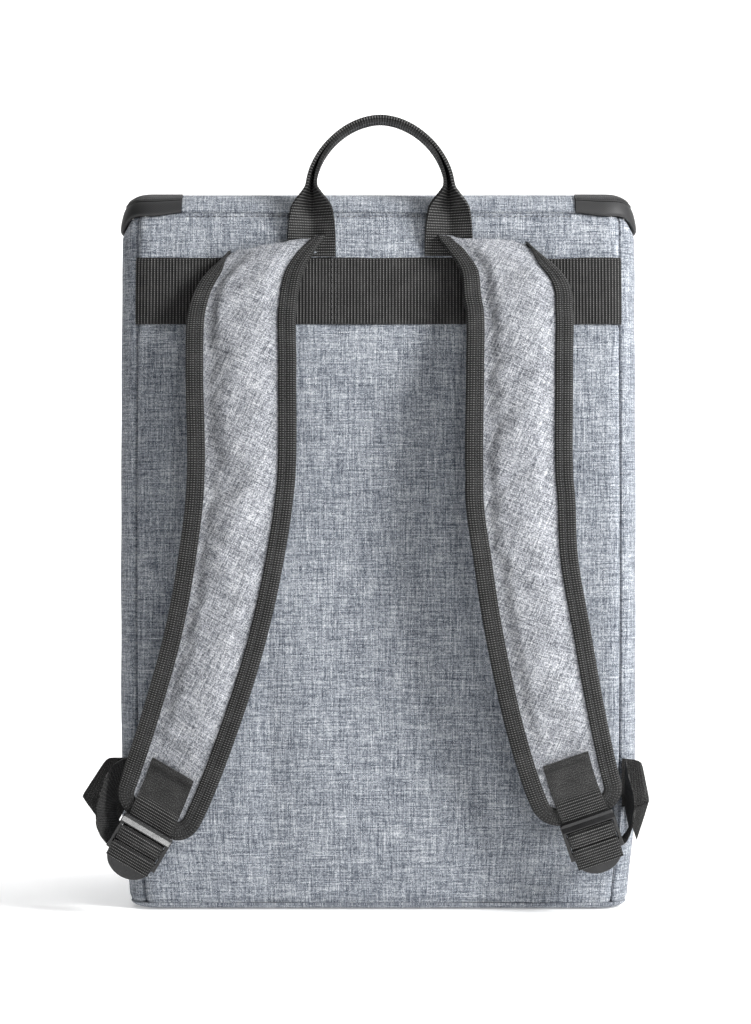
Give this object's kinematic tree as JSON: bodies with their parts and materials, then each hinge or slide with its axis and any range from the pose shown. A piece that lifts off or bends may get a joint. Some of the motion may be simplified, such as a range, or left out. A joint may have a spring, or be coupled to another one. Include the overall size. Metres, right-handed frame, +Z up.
{
  "type": "cooler backpack",
  "caption": "Soft insulated cooler backpack with a zipped lid, carry handle, webbing band and two padded shoulder straps with ladder-lock adjusters.",
  "frame": {"origin": "middle of the base's underside, where the backpack stands", "axes": "+Z up to the lid and handle, -Y out of the harness side, +X to the right as seen from the harness side"},
  "size_m": [0.3401, 0.2396, 0.4774],
  "materials": {
    "shell_fabric": "melange blue-grey linen-look polyester over foam",
    "strap_fabric": "melange grey linen-look polyester over foam",
    "webbing": "ribbed near-black webbing",
    "binding": "finely ribbed near-black binding tape",
    "zip_tape": "smooth dark grey zip tape",
    "zip_coil": "black nylon coil",
    "buckle_plastic": "gloss black moulded plastic"
  },
  "bodies": {
    "root": {"back_panel": "shell_fabric", "front_panel": "shell_fabric", "side_panel_left": "shell_fabric", "side_panel_right": "shell_fabric", "base_panel": "shell_fabric", "lid_panel": "shell_fabric", "zip_tape_lower": "zip_tape", "zip_tape_upper": "zip_tape", "zip_coil": "zip_coil", "zip_slider": "buckle_plastic", "back_webbing_band": "webbing", "grab_handle": "webbing", "shoulder_strap_left": "strap_fabric", "shoulder_strap_right": "strap_fabric", "strap_binding_left": "binding", "strap_binding_right": "binding", "strap_patch_left": "webbing", "strap_patch_right": "webbing", "ladder_lock_left": "buckle_plastic", "ladder_lock_right": "buckle_plastic", "adjuster_webbing_left": "webbing", "adjuster_webbing_right": "webbing", "anchor_tab_left": "webbing", "anchor_tab_right": "webbing"}
  },
  "joints": []
}
